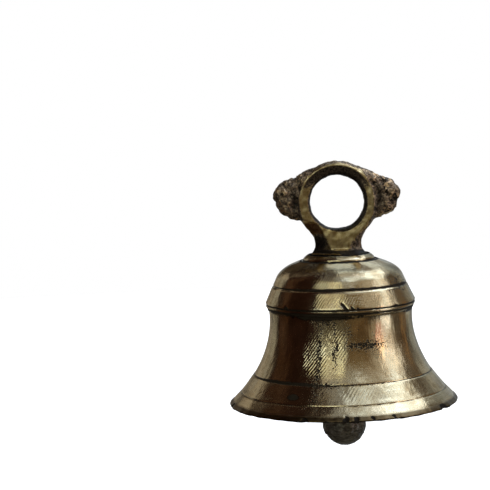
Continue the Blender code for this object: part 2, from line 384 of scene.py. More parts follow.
def turned_brass():
    """Brass off the lathe: turning lines, tool chatter, casting pits, tarnish and black grime."""
    material, nodes, shader, place = new_material("turned_brass")
    grime_and_shade, inside, lip = (nodes.attribute(name) for name in ("grime_and_shade", "inside", "lip"))
    mottle = nodes.noise(place, 0.11, 4, 0.55)
    blotch = nodes.noise(place, 0.45, 4, 0.6, 0.5)
    line = nodes.noise(nodes.stretched(place, 0.02, 0.02, 2.2), 1, 3, 0.7)
    fine_line = nodes.noise(nodes.stretched(place, 0.1, 0.1, 9), 1, 2, 0.6)
    streak = nodes.noise(nodes.stretched(place, 0.8, 0.8, 0.16), 1, 3, 0.6)
    grain = nodes.noise(place, 5, 2)

    pit = nodes.math("MAXIMUM", pits(nodes, place, 1.15, 0.68), pits(nodes, place, 2.4, 0.85))
    uneven = nodes.times(nodes.math("SUBTRACT", blotch, 0.5), 0.9)
    dirt = nodes.math("MAXIMUM", nodes.step(nodes.sum(grime_and_shade, uneven), 0.42, 0.70), pit)
    # Dirt darkens the brass before it dulls it, or else its edges would look pale
    dull = nodes.step(dirt, 0.4, 1)
    stain = nodes.step(nodes.sum(mottle, nodes.times(inside, 0.5)), 0.42, 0.75)

    color = nodes.mix(nodes.step(blotch, 0.3, 0.7), YELLOW_BRASS, PALE_BRASS)
    color = nodes.mix(nodes.times(stain, 0.65), color, STAIN_BROWN)
    color = nodes.mix(nodes.times(lip, 0.93), color, LIP_BROWN)
    color = nodes.mix(nodes.times(nodes.step(line, 0.45, 0.8), 0.2), color, LINE_BROWN)
    color = nodes.mix(nodes.step(dirt, 0, 0.5, 0, 0.97), color, GRIME_BLACK)
    roughness = nodes.sum(
        0.09,
        nodes.times(line, 0.12),
        nodes.times(mottle, 0.10),
        nodes.times(inside, 0.22),
        nodes.times(lip, 0.12),
        nodes.times(dull, 0.35),
    )
    height = nodes.sum(
        nodes.times(chatter_wave(nodes, place), CHATTER_HEIGHT),
        nodes.times(line, LINE_HEIGHT),
        nodes.times(fine_line, FINE_LINE_HEIGHT),
        nodes.times(grain, nodes.step(inside, 0, 1, 0.002, 0.03)),
        nodes.times(pit, PIT_HEIGHT),
        nodes.times(blotch, BLOTCH_HEIGHT),
        nodes.times(streak, STREAK_HEIGHT),
    )
    set_shader(
        nodes,
        shader,
        Base_Color=color,
        Metallic=nodes.step(dull, 0, 1, 1, 0.3),
        Specular_IOR_Level=nodes.step(dull, 0, 1, 0.5, 0.15),
        Roughness=roughness,
        Anisotropic=0.55,
        Anisotropic_Rotation=0.25,
        Tangent=nodes.add("Tangent", direction_type="RADIAL", axis="Z"),
        Normal=bump(nodes, height),
    )
    return material


FILED_BROWN, FILED_YELLOW = rgb(0.50, 0.37, 0.17), rgb(0.92, 0.76, 0.43)
COPPER_STAIN, RED_BRASS = rgb(0.52, 0.30, 0.12), rgb(0.80, 0.55, 0.33)
DARK_TARNISH, PALE_TARNISH = rgb(0.20, 0.14, 0.09), rgb(0.60, 0.46, 0.31)
CRUST_BLACK, HOLLOW_BLACK = rgb(0.035, 0.030, 0.028), rgb(0.008, 0.007, 0.006)


def cast_brass():
    """Cast brass: bright where it was filed flat, and on ridges as wear and a painted highlight;
    dark and crusty where it was left as cast, and black in hollows and where shade is painted.
    """
    material, nodes, shader, place = new_material("cast_brass")
    names = ("filed", "ridged", "hollow", "grime_and_shade")
    filed, ridged, hollow, grime_and_shade = (nodes.attribute(name) for name in names)
    blotch = nodes.noise(place, 0.5, 4, 0.6)
    crust = nodes.noise(place, 1.3, 5, 0.65, 0.4)
    grain = nodes.noise(place, 5.5, 3, 0.6)
    scratch = nodes.noise(nodes.stretched(place, 3.4, 0.6, 0.5), 1, 3, 0.65)

    # Where the brass shows bright: filed faces and the crust noise, and ridges, whose brightness is
    # partly wear and partly a painted highlight. Hollows, grime and painted shade hold it back
    bare_and_highlit = nodes.sum(
        nodes.times(filed, 0.75),
        nodes.times(ridged, 0.9),
        nodes.times(nodes.math("SUBTRACT", crust, 0.5), 1.5),
        nodes.times(hollow, -1.3),
        nodes.times(grime_and_shade, -1.2),
    )
    shine = nodes.step(bare_and_highlit, 0.0, 0.45)
    brass = nodes.mix(nodes.step(blotch, 0.35, 0.7), FILED_BROWN, FILED_YELLOW)
    brass = nodes.mix(nodes.times(nodes.step(crust, 0.5, 0.8), 0.5), brass, COPPER_STAIN)
    brass = nodes.mix(nodes.step(filed, 0.2, 0.7, 0.8, 0), brass, RED_BRASS)
    tarnish = nodes.mix(nodes.step(grain, 0.35, 0.65), DARK_TARNISH, PALE_TARNISH)
    tarnish = nodes.mix(nodes.step(crust, 0.40, 0.58, 0.85, 0), tarnish, CRUST_BLACK)
    # Black patina in hollows, and grime and painted shade from the handle's dark mask, in one black
    soot_and_shade = nodes.times(nodes.math("MAXIMUM", hollow, grime_and_shade), 0.9)
    tarnish = nodes.mix(soot_and_shade, tarnish, HOLLOW_BLACK)
    height = nodes.sum(
        nodes.times(crust, nodes.step(filed, 0, 1, 0.16, 0.06)),
        nodes.times(grain, nodes.step(filed, 0, 1, 0.06, 0.02)),
        nodes.times(scratch, 0.03),
    )
    set_shader(
        nodes,
        shader,
        Base_Color=nodes.mix(shine, tarnish, brass),
        Metallic=nodes.step(shine, 0, 1, 0.70, 1),
        Specular_IOR_Level=nodes.step(shine, 0, 1, 0.2, 0.5),
        Roughness=nodes.sum(nodes.step(shine, 0, 1, 0.36, 0.26), nodes.times(scratch, 0.1)),
        Normal=bump(nodes, height),
    )
    return material


RUST, WORN_IRON = rgb(0.17, 0.065, 0.022), rgb(0.36, 0.34, 0.31)


def iron(name, dark, light, metal, rust_share, roughness, pitting):
    """Black iron with scale, a little rust and worn ridges. The pitting is in millimetres."""
    material, nodes, shader, place = new_material(name)
    ridged, hollow = nodes.attribute("ridged"), nodes.attribute("hollow")
    scale = nodes.noise(nodes.stretched(place, 0.5, 0.5, 1.2), 1, 5, 0.6, 0.3)
    grain = nodes.noise(place, 4.5, 3, 0.6)
    spots = nodes.noise(place, 1.6, 4, 0.7)
    worn = nodes.step(nodes.sum(ridged, nodes.times(scale, 0.4)), 0.35, 0.9)
    rust = nodes.step(nodes.sum(spots, nodes.times(hollow, 0.25)), 0.56, 0.72)
    rust = nodes.times(rust, rust_share)
    color = nodes.mix(nodes.step(scale, 0.3, 0.7), dark, light)
    color = nodes.mix(rust, color, RUST)
    color = nodes.mix(nodes.times(worn, 0.6), color, WORN_IRON)
    height = nodes.sum(
        nodes.times(scale, pitting),
        nodes.times(grain, pitting / 4),
        nodes.times(rust, pitting / 2),
    )
    set_shader(
        nodes,
        shader,
        Base_Color=color,
        Metallic=nodes.step(rust, 0, 1, metal, 0.1),
        Roughness=nodes.sum(roughness, nodes.times(grain, 0.15), nodes.times(rust, 0.2)),
        Normal=bump(nodes, height),
    )
    return material


# ---------------------------------------------------------------- bell shell

SHELL_SEGMENTS = 400
OUTSIDE_SPACING, INSIDE_SPACING = 0.55, 1.6
STUD_HOLE = 2.3
FOOT_SOCKET = 11.4
FLANGE_H = 38.2
STEP_H = 11.6
LIP_H = 1.9
CROWN_EDGE = 12.3
CROWN_H = cad("bell_shell")[1][2]
MOUTH_RADIUS = cad("bell_shell")[1][0]
EYE_H = -MOUTH_Z


def shell_outside():
    """Down the outside of the bell, from the edge of the bolt hole to the lip."""
    seat_h = CROWN_H - 0.5
    line = [(STUD_HOLE, seat_h), (FOOT_SOCKET, seat_h), (FOOT_SOCKET + 0.1, CROWN_H)]
    line += [(CROWN_EDGE, CROWN_H - 0.5), (13.2, CROWN_H - 1.3), (13.55, CROWN_H - 2.4)]
    line += [(13.8, CROWN_H - 2.45), (14.3, CROWN_H - 2.1)]
    line += bend(line[-1], (17.4, 52.5), (21.5, 51.4), (23.6, 47.9), 14)
    line += [(24.95, 44.9), (24.9, 44.4), (25.25, 44.15), (25.6, 43.8)]
    line += [(28.0, FLANGE_H + 0.25), (28.1, FLANGE_H - 0.1), (27.6, FLANGE_H - 0.5)]
    line += [(28.0, FLANGE_H - 0.9), (27.95, FLANGE_H - 1.5), (27.45, FLANGE_H - 1.9)]
    line += [(27.5, 35.9), (27.4, 35.55), (27.05, 35.3)]
    line += bend(line[-1], (26.85, 34.4), (26.76, 33.4), (26.76, 32.0), 4)
    line += bend(line[-1], (26.76, 25.5), (29.2, 18.0), (33.15, STEP_H + 0.2), 26)
    line += [(33.2, STEP_H - 0.15), (33.75, STEP_H - 0.45), (37.2, 6.6), (38.35, 5.25)]
    line += [(38.4, 4.95), (38.85, 4.7), (40.7, 2.8), (41.5, LIP_H), (42.3, 1.25), (42.85, 0.7)]
    return line + [(MOUTH_RADIUS - 0.02, 0.25), (MOUTH_RADIUS - 0.2, 0.0)]


def shell_inside():
    """Up the inside of the bell, from the lip to the edge of the bolt hole."""
    line = [(39.7, 0.0), (39.0, 0.4)]
    line += bend(line[-1], (31.6, 8.4), (23.46, 18.5), (23.46, 31.0), 18)
    line += bend(line[-1], (23.46, 39.0), (21.5, 51.8), (13.5, 51.8), 12)
    return line + [(STUD_HOLE, 51.8)]


# Each nick: angle (degrees), height, half length, half width, depth and lean (degrees from level)
NICKS = (
    (3, 39.0, 1.6, 0.33, 0.65, -52),
    (9, 38.3, 0.8, 0.28, 0.5, -52),
    (13, 38.1, 0.45, 0.25, 0.4, -70),
    (-45, 38.3, 0.8, 0.3, 0.4, -15),
    (46, 38.0, 0.9, 0.3, 0.3, 5),
    (131, 38.3, 1.1, 0.3, 0.5, 40),
    (-142, 38.2, 0.9, 0.3, 0.5, -35),
    (1, 1.2, 0.75, 0.32, 0.6, 70),
    (6, 1.0, 0.7, 0.32, 0.6, 80),
    (-19, 0.6, 0.9, 0.4, 0.45, -20),
    (14, 1.3, 0.4, 0.35, 0.35, 20),
    (25, 1.1, 0.45, 0.35, 0.35, 30),
    (58, 0.4, 1.4, 0.7, 0.55, 10),
    (96, 0.6, 1.1, 0.5, 0.5, 70),
    (158, 0.9, 0.9, 0.5, 0.5, 85),
    (-77, 0.7, 1.0, 0.5, 0.45, 60),
    (-124, 0.8, 1.2, 0.5, 0.5, 75),
)

# How much wider than each nick its black stain is, and how strong
NICK_STAIN_WIDTH, NICK_STAIN_STRENGTH = 1.3, 6

# Soft bands of grime round the bell: strength, height and spread
GRIME_RINGS = (
    (0.85, CROWN_H - 2.1, 0.42),
    (0.78, 44.7, 0.42),
    (1.0, FLANGE_H - 0.5, 0.45),
    (0.9, FLANGE_H - 1.9, 0.5),
    (0.65, FLANGE_H - 3.1, 1.1),
    (0.62, STEP_H - 0.1, 0.28),
    (0.55, 4.95, 0.2),
    (0.28, 0.1, 0.4),
)

# Soft patches on the outside: strength, angle, height, spread in degrees and spread in height
GRIME_PATCHES = (
    (1.4, -30, 7.5, 3.8, 1.0),
    (1.0, -38, STEP_H + 0.2, 26, 0.6),
    (0.5, 0, 45.0, 35, 0.9),
    (0.45, -15, 33, 18, 2.0),
    (0.40, 60, 46, 22, 5),
    (0.3, 70, 30, 14, 8),
)
CLEAN_PATCHES = (
    (0.4, 42, 35.5, 26, 2.2),
    (0.25, -60, 35, 20, 2),
)
CHATTER_PATCHES = (
    (1.2, -24, 21.5, 7, 6),
    (0.85, -8, 26, 8, 8),
    (0.55, -15, 47.5, 9, 3),
    (0.3, 14, 8.5, 18, 3),
    (0.2, 2, 41, 30, 2.5),
    (0.9, 150, 26, 16, 7),
    (0.7, -110, 22, 14, 7),
    (0.8, 95, 27, 13, 6),
)
PITTED_PATCHES = (
    (1.3, -17, 20, 2.8, 11),
    (1.2, -5, 24, 2.4, 8),
    (1.0, 16, 24.6, 18, 1.9),
    (1.2, -15, 33.5, 10, 1.8),
    (0.6, 5, 30, 7, 4),
    (0.9, 12, 44.8, 30, 0.9),
    (0.8, -5, 11.6, 30, 1.0),
    (0.5, -12, 6, 12, 4),
    (0.8, -16, 50.5, 14, 1.5),
    (0.75, 62, 46, 20, 6),
    (0.25, 30, 28, 20, 9),
    (0.8, 165, 30, 14, 3),
    (0.7, -95, 16, 5, 9),
    (0.7, 120, 45, 12, 3),
)
SOUND_PATCHES = ((0.3, -55, 22, 26, 16),)
PITS_EVERYWHERE, PITS_INSIDE, PITS_ON_LIP = 0.10, 0.5, 0.12
GRIME_INSIDE, GRIME_ON_LIP, GRIME_AT_FOOT = 0.3, 0.35, 0.7


def round_offset(angle, degrees):
    """The angle from that direction, in radians from -pi to pi."""
    return (angle - radians(degrees) + pi) % (2 * pi) - pi


def nick_depths(angle, height, radius, widening=1):
    """How deep the nicks are at each point, with their widths multiplied by widening."""
    depth = np.zeros(len(angle))
    for degrees, at_h, length, width, deep, lean in NICKS:
        across, up = round_offset(angle, degrees) * radius, height - at_h
        c, s = cos(radians(lean)), sin(radians(lean))
        along = (across * c + up * s) / length
        off = (up * c - across * s) / width / widening
        depth = np.maximum(depth, deep * np.exp(-(along**4) - off**2))
    return depth


def patches(angle, height, spots):
    """The sum of soft oval patches at each point."""
    total = np.zeros(len(angle))
    for strength, degrees, at_h, wide, tall in spots:
        off = round_offset(angle, degrees) / radians(wide)
        total += strength * np.exp(-(off**2) - ((height - at_h) / tall) ** 2)
    return total


def rings(height, bands):
    """The sum of soft bands round the bell at each point."""
    total = np.zeros(len(height))
    for strength, at_h, spread in bands:
        total += strength * np.exp(-(((height - at_h) / spread) ** 2))
    return total


# Heights in millimetres of the waves left by turning, of those left by casting, and of the lip's
TURNED_COARSE, TURNED_FINE = 0.030, 0.012
CAST_COARSE, CAST_FINE = 0.12, 0.07
LIP_COARSE, LIP_FINE, LIP_WEAR = 0.06, 0.025, 0.03


def surface_errors(points, radius, lip, is_outside):
    """How far the surface stands off its outline: wavy where turned, uneven where cast."""
    turned = TURNED_COARSE * swell(points * (1, 1, 0.55), 9, 1)
    turned += TURNED_FINE * swell(points * (1, 1, 0.4), 3.6, 2)
    cast = CAST_COARSE * swell(points, 9, 3) + CAST_FINE * swell(points, 3.5, 4)
    push = np.where(is_outside, turned, cast) * smooth_step(12, 16, radius)
    worn = LIP_FINE * swell(points, 2.4, 5) + LIP_COARSE * swell(points, 7, 6) - LIP_WEAR
    return push + lip * worn


def ring_faces(rows, columns):
    """The quads of a grid whose last row joins its first, and whose last column joins its first."""
    column = np.arange(columns)
    after = (column + 1) % columns
    faces = []
    for row in range(rows):
        here, below = row * columns, (row + 1) % rows * columns
        corners = [here + column, below + column, below + after, here + after]
        faces += np.stack(corners, axis=1).tolist()
    return faces


def turned_bell(material):
    outside = resample(soften(shell_outside(), 0.12), OUTSIDE_SPACING)
    inside = resample(soften(shell_inside(), 0.3), INSIDE_SPACING)
    line = np.vstack([outside, inside])
    along = np.roll(line, -1, axis=0) - np.roll(line, 1, axis=0)
    along /= np.linalg.norm(along, axis=1)[:, None]
    rows, columns = len(line), SHELL_SEGMENTS
    angle = np.tile(np.linspace(-pi, pi, columns, endpoint=False), rows)
    radius, height, run, climb = (np.repeat(v, columns) for v in (*line.T, *along.T))
    is_outside = np.repeat(np.arange(rows) < len(outside), columns)
    points = np.stack([radius * np.sin(angle), -radius * np.cos(angle), height], axis=1)
    normals = np.stack([-climb * np.sin(angle), climb * np.cos(angle), run], axis=1)

    lip_outside, lip_inside = smooth_step(2.2, 1.5, height), smooth_step(1.5, 0.3, height)
    lip = np.where(is_outside, lip_outside, lip_inside)
    push = surface_errors(points, radius, lip, is_outside)
    nicks = np.where(is_outside, nick_depths(angle, height, radius), 0)
    points = points + normals * (push - nicks)[:, None]
    faces = ring_faces(rows, columns)
    shell = new_piece("turned_bell", points, faces, "bell", "bell_shell", material)

    stain = nick_depths(angle, height, radius, NICK_STAIN_WIDTH)
    grime_and_shade = rings(height, GRIME_RINGS) + NICK_STAIN_STRENGTH * stain + GRIME_ON_LIP * lip
    grime_and_shade += np.where(radius < CROWN_EDGE, GRIME_AT_FOOT, 0) + patches(angle, height, GRIME_PATCHES)
    grime_and_shade -= patches(angle, height, CLEAN_PATCHES)
    chatter = patches(angle, height, CHATTER_PATCHES)
    pitting = PITS_EVERYWHERE + patches(angle, height, PITTED_PATCHES)
    pitting += PITS_ON_LIP * lip - patches(angle, height, SOUND_PATCHES)
    paint(shell, "grime_and_shade", np.where(is_outside, grime_and_shade, GRIME_INSIDE))
    paint(shell, "inside", np.where(is_outside, 0, 1))
    paint(shell, "lip", lip)
    paint(shell, "chatter", np.where(is_outside, chatter, 0))
    paint(shell, "pitting", np.where(is_outside, pitting, PITS_INSIDE))


# ---------------------------------------------------------------- ring handle

EYE_RADIUS = 9.85
RING_RADIUS = 15.2
RING_HALF_DEPTH = 4.35
# The filed faces: how far off the middle plane, their ridge round the eye, and their lowest height
# about the eye's centre
FLAT, RIDGE_RADIUS, FLAT_LOW = 3.6, 13.9, -17.6
NECK_HALF_WIDTH, NECK_H = 8.5, 61.2
FOOT_RADIUS, FOOT_H, FOOT_RISE = 11.1, CROWN_H - 0.2, 3.0
SOCKET_TOP = 61.6
# The neck goes up into the ring as far as this
NECK_TOP = EYE_H - 11.5
# Fillets where the neck and an ear join the ring, between an ear's lumps, and at the eye's edge
NECK_FILLET, EAR_FILLET, LUMP_FILLET, EYE_FILLET = 3.0, 1.2, 1.8, 0.5
# The eye is a little wider than EYE_RADIUS, and has shallow waves round it
EYE_SLACK, EYE_WAVE_HEIGHT, EYE_WAVES = 0.15, 0.12, 7
# How far the filed faces lean in to the eye, in degrees, and how much more at the top
FACE_LEAN, TOP_LEAN = 3, 11
HANDLE_STEP, HANDLE_MARGIN = 0.3, 1.5

# Slanting file cuts: a point on each, the way it faces, and the lowest and highest height that it
# reaches, all about the eye's centre
FILE_CUTS = (
    ((-5.0, -FLAT, -12.0), (-0.50, -0.84, -0.20), -18, -8),
    ((11.3, -FLAT, -8.4), (0.55, -0.665, -0.505), -11.5, -5),
    ((4.8, FLAT, -12.0), (0.50, 0.84, -0.20), -18, -8),
    ((-11.3, FLAT, -8.4), (-0.55, 0.665, -0.505), -11.5, -5),
)

# Centre about the eye's, radii and lean of the lumps that make up one ear
EAR = (
    ((11.9, 0.3, 9.0), (5.9, 3.2, 2.3), -32),
    ((14.6, 0.0, -3.6), (2.9, 2.7, 3.0), 25),
    ((17.3, 0.3, 3.2), (5.6, 3.3, 5.6), 0),
    ((20.7, 0, 2.8), (2.9, 2.9, 2.9), 0),
    ((17.9, 0.2, -1.2), (4.4, 3.1, 4.1), 0),
)


def about_eye(points):
    return points - (0, 0, EYE_H)


def handle_body(points):
    """The handle as cast: a ring, a neck that spreads into a round foot, and two ears."""
    x, y, z = about_eye(points).T
    height = points[:, 2]
    reach = np.hypot(x, z)
    middle, half_width = (RING_RADIUS + EYE_RADIUS) / 2, (RING_RADIUS - EYE_RADIUS) / 2
    ring = oval(reach - middle, y, half_width, RING_HALF_DEPTH)
    wide = 1 - np.clip((height - FOOT_H) / (NECK_H - FOOT_H), 0, 1)
    deep = 1 - np.clip((height - FOOT_H) / FOOT_RISE, 0, 1)
    wide, deep = 1 - np.sqrt(1 - wide**2), 1 - np.sqrt(1 - deep**2)
    half_width = NECK_HALF_WIDTH + (FOOT_RADIUS - NECK_HALF_WIDTH) * wide
    half_depth = RING_HALF_DEPTH + (FOOT_RADIUS - RING_HALF_DEPTH) * deep
    neck = oval(x, y, half_width, half_depth)
    neck = np.maximum(neck, np.maximum(FOOT_H - height, height - NECK_TOP))
    body = join(ring, neck, NECK_FILLET)
    for side in (1, -1):
        ear = None
        for centre, radii, lean in EAR:
            lump = blob(about_eye(points), np.array(centre) * (side, 1, 1), radii, lean * side)
            ear = lump if ear is None else join(ear, lump, LUMP_FILLET)
        body = join(body, ear, EAR_FILLET)
    wave = EYE_WAVE_HEIGHT * np.cos(EYE_WAVES * np.arctan2(z, x) + 1)
    body = cut(body, EYE_RADIUS + EYE_SLACK + wave - reach, EYE_FILLET)
    socket = np.maximum(np.hypot(x, y) - STUD_HOLE, height - SOCKET_TOP)
    return np.maximum(body, -socket)


def handle_rough(points):
    """How far the casting's lumps stand out: most on the ears and beside the neck."""
    q = about_eye(points)
    x, y, z = q.T
    ear = smooth_step(13.0, 16.5, np.abs(x) + 0.15 * z)
    upper = smooth_step(6, 10, z)
    beside_neck = np.exp(-((np.abs(x) - 6.3) ** 2 + (z + 15.5) ** 2) / 6)
    coarse = 0.05 + 0.09 * ear + 0.03 * upper + 0.16 * beside_neck
    fine = 0.012 + 0.030 * ear + 0.015 * upper + 0.04 * beside_neck
    value = coarse * swell(q, 3.0, 11) + fine * swell(q, 1.25, 12)
    value += 0.5 * fine * swell(q, 0.65, 13)
    return value * smooth_step(FOOT_H, FOOT_H + 1.5, points[:, 2])


def handle_cuts(points):
    """The filed faces: two flats that lean in to the eye, and the slanting cuts."""
    q = about_eye(points)
    x, y, z = q.T
    inward = RIDGE_RADIUS - np.hypot(x, z)
    upper = smooth_step(1, 9, z)
    tilt_in = np.tan(radians(FACE_LEAN) + radians(TOP_LEAN) * upper)
    tilt_out = upper * smooth_step(12, 9, np.abs(x))
    rise = np.where(inward > 0, inward * tilt_in, -inward * tilt_out)
    clear = 3 * np.maximum(FLAT_LOW - z, 0) + 4 * smooth_step(13.5, 15.5, np.abs(x))
    flats = np.maximum(-y - FLAT + rise, y - FLAT + 0.6 * rise) - clear
    for point, facing, low, high in FILE_CUTS:
        distance = (q - point) @ facing / np.linalg.norm(facing)
        beyond = 1.5 * np.maximum(np.maximum(low - z, z - high), 0)
        flats = np.maximum(flats, distance - beyond)
    return flats + 0.03 * swell(q, 4, 14)


def handle_grime_and_shade(points):
    """Where the handle is painted dark, from 0 to above 1: painted shade in the eye and on the
    ring's top inside its ridge, and dark patches beside the neck, where the ears meet the ring, and
    at the foot.
    """
    x, _, z = about_eye(points).T
    reach = np.hypot(x, z)
    # Painted shade on the eye's inner wall, with more of it to the right and the top
    band = 0.6 + 0.9 * smooth_step(-5, 6, x)
    grime_and_shade = 1.3 * smooth_step(band + 0.5, band - 0.2, reach - EYE_RADIUS)
    # Painted shade on the downward-facing part of the ring's top, inside its ridge
    inside_ridge = smooth_step(RIDGE_RADIUS + 0.1, RIDGE_RADIUS - 0.5, reach)
    grime_and_shade += 0.8 * smooth_step(2, 9, z) * inside_ridge
    # Beside the neck, where the ears meet the ring, and at the foot
    grime_and_shade += 1.8 * np.exp(-((x + 7.5) ** 2 + (z + 15.5) ** 2) / 9)
    grime_and_shade += 0.8 * np.exp(-((x - 7.0) ** 2 + (z + 16.0) ** 2) / 4)
    grime_and_shade += np.exp(-((np.abs(x) - 15.8) ** 2) / 2 - (z - 1.0) ** 2 / 30)
    return grime_and_shade + 1.3 * smooth_step(FLAT_LOW, FLAT_LOW - 1, z)


def ring_handle(material):
    low, high = cad("handle_loop")
    low, high = low - HANDLE_MARGIN, high + HANDLE_MARGIN
    points, faces, marks = carve(handle_body, low, high, HANDLE_STEP, handle_rough, handle_cuts)
    handle = new_piece("ring_handle", points, faces, "bell", "handle_loop", material)
    # The material darkens the handle by this mask: painted shade in the eye and at the ring's top,
    # and dark patches elsewhere
    paint(handle, "grime_and_shade", handle_grime_and_shade(points))
    for name, values in marks.items():
        paint(handle, name, values)


# ---------------------------------------------------------------- iron pieces

WIRE_STEP, LINK_STEP, NUT_STEP, WASHER_STEP, BOB_STEP = 0.2, 0.16, 0.16, 0.25, 0.3
IRON_MARGIN = 0.4
THREAD_PITCH, THREAD_DEPTH = 0.8, 0.16


def wire_ring(points, centre_h, radius, wire, half_straight=0.0, plane="XZ"):
    """The distance from a wire loop in that plane, with straight sides of that half length."""
    x, y, z = (points - (0, 0, centre_h)).T
    across, off = (x, y) if plane == "XZ" else (y, x)
    run = np.hypot(across, np.maximum(np.abs(z) - half_straight, 0))
    return np.hypot(run - radius, off) - wire


def hammered(points, depth, seed):
    """Shallow dents of about that depth."""
    return depth * swell(points, 2.6, seed) + 0.4 * depth * swell(points, 1.0, seed + 1)


def iron_piece(name, node, slot, body, material, field, step, dent, seed):
    low, high = cad(node)
    low, high = low - IRON_MARGIN, high + IRON_MARGIN
    found = carve(field, low, high, step, lambda points: hammered(points, dent, seed))
    points, faces, marks = found
    piece = new_piece(name, points, faces, body, node, material)
    for mark, values in marks.items():
        paint(piece, mark, values)


def hanger_parts(forged):
    """The threaded eye bolt under the crown, with its washer and nut."""
    nut_low, nut_high = (corner[2] for corner in cad("hanger_nut"))
    washer_low, washer_high = (corner[2] for corner in cad("crown_washer"))
    bolt_low, bolt_high = cad("hanger_bolt")
    washer_radius = cad("crown_washer")[1][0]
    nut_flat = cad("hanger_nut")[1][1]
    eye_wire, eye_radius, stud = 1.2, 3.2, 2.0
    eye_h = bolt_low[2] + eye_radius + eye_wire

    def bolt(points):
        x, y, z = points.T
        turns = (z / THREAD_PITCH + np.arctan2(y, x) / (2 * pi)) % 1
        threaded = smooth_step(nut_low - 1.4, nut_low - 0.8, z)
        thread = THREAD_DEPTH * (2 * np.abs(turns - 0.5)) * threaded
        shank = bar(points, stud - thread, eye_h + eye_radius - 0.2, bolt_high[2])
        eye = wire_ring(points, eye_h, eye_radius, eye_wire)
        gap = np.abs(0.8 * x - 0.6 * (z - eye_h)) - 0.14
        eye = np.where((x > 0) & (z > eye_h), np.maximum(eye, -gap), eye)
        return join(shank, eye, 0.9)

    def washer(points):
        reach = np.hypot(points[:, 0], points[:, 1])
        flat = np.maximum(points[:, 2] - washer_high, washer_low - points[:, 2])
        disc = cut(flat, reach - washer_radius, EDGE_ROUNDING)
        return cut(disc, STUD_HOLE - reach, EDGE_ROUNDING)

    def nut(points):
        x, y, z = points.T
        sides = [np.abs(x * cos(a) + y * sin(a)) - nut_flat for a in np.radians((30, 90, 150))]
        reach = np.hypot(x, y)
        end = np.maximum(z - nut_high, nut_low - z)
        chamfer = (end + 0.5 * (reach - nut_flat * 1.02)) / 1.12
        hexagon = cut(cut(sides[0], sides[1], EDGE_ROUNDING), sides[2], EDGE_ROUNDING)
        body = cut(hexagon, cut(end, chamfer, 0.2), EDGE_ROUNDING)
        return cut(body, STUD_HOLE - reach, EDGE_ROUNDING)

    on_bell = ("forged_iron", "bell", forged)
    iron_piece("eye_bolt", "hanger_bolt", *on_bell, bolt, WIRE_STEP, dent=0.03, seed=21)
    iron_piece("dished_washer", "crown_washer", *on_bell, washer, WASHER_STEP, dent=0.02, seed=23)
    iron_piece("hex_nut", "hanger_nut", *on_bell, nut, NUT_STEP, dent=0.015, seed=25)


def clapper_parts(forged, cast):
    """The wire link, and the clapper that hangs from it."""
    link_low, link_high = cad("clapper_link")
    rod_low, rod_high = cad("clapper_rod")
    bob_low, bob_high = cad("clapper_bob")
    link_wire, link_radius = 0.9, 2.9
    link_h = (link_low[2] + link_high[2]) / 2
    link_straight = (link_high[2] - link_low[2]) / 2 - link_radius - link_wire
    eye_wire, eye_radius, rod_radius = 1.1, 2.9, 1.3
    eye_h = rod_high[2] - eye_radius - eye_wire
    ball_radius = bob_high[0]
    ball_h = bob_low[2] + ball_radius

    def link(points):
        ring = wire_ring(points, link_h, link_radius, link_wire, link_straight, "YZ")
        gap = np.abs(points[:, 2] - link_h - 0.15 * points[:, 1]) - 0.1
        return np.where(points[:, 1] > 0, np.maximum(ring, -gap), ring)

    def rod(points):
        x, _, z = points.T
        shank = bar(points, rod_radius, rod_low[2], eye_h - eye_radius + 0.4)
        eye = wire_ring(points, eye_h, eye_radius, eye_wire)
        gap = np.abs(0.85 * (x + 0.6) + 0.53 * (z - eye_h)) - 0.12
        eye = np.where((x < -0.6) & (z < eye_h), np.maximum(eye, -gap), eye)
        return join(shank, eye, 0.8)

    def bob(points):
        x, y, z = points.T
        reach = np.hypot(x, y)
        ball = np.linalg.norm(points - (0, 0, ball_h), axis=1) - ball_radius
        # The mould's lower half was a little smaller, and stood a little to one side
        lower = np.linalg.norm(points - (0.15, 0, ball_h), axis=1) - (ball_radius - 0.35)
        parting_h = ball_h - 2.7 + 0.06 * x
        ball = np.where(z < parting_h, np.maximum(ball, lower), ball)
        neck = bar(points, 3.1, ball_h, bob_high[2], 0.5)
        body = join(ball, neck, 2.2)
        bore = np.maximum(reach - rod_radius - 0.3, rod_low[2] - 0.3 - z)
        return cut(body, -bore, 0.2)

    on_link = ("forged_iron", "link", forged)
    on_clapper = ("forged_iron", "clapper", forged)
    cast_on_clapper = ("cast_iron", "clapper", cast)
    iron_piece("wire_link", "clapper_link", *on_link, link, LINK_STEP, dent=0.02, seed=31)
    iron_piece("clapper_stem", "clapper_rod", *on_clapper, rod, WIRE_STEP, dent=0.02, seed=33)
    iron_piece("clapper_ball", "clapper_bob", *cast_on_clapper, bob, BOB_STEP, dent=0.07, seed=35)


# ---------------------------------------------------------------- studio

# The camera's distance and lens are in millimetres, and its angles in degrees. It looks AIM_YAW to
# the left of the bell and AIM_PITCH above the mouth.
CAMERA_DISTANCE, CAMERA_ELEVATION, CAMERA_ROLL = 600.0, 10.8, 1.6
LENS, SENSOR = 115.5, 36
AIM_YAW, AIM_PITCH = 3.57, 5.63
FLOOR_DROP, FLOOR_RADIUS, FLOOR_SIDES = 0.75, 7.0, 96
ROOM_LOW, ROOM_HIGH = rgb(0.23, 0.215, 0.185), rgb(0.45, 0.44, 0.42)
COOL_TINT, WARM_TINT = rgb(0.92, 0.99, 1.06), rgb(1.10, 0.98, 0.86)
WHITE = rgb(1, 1, 1)

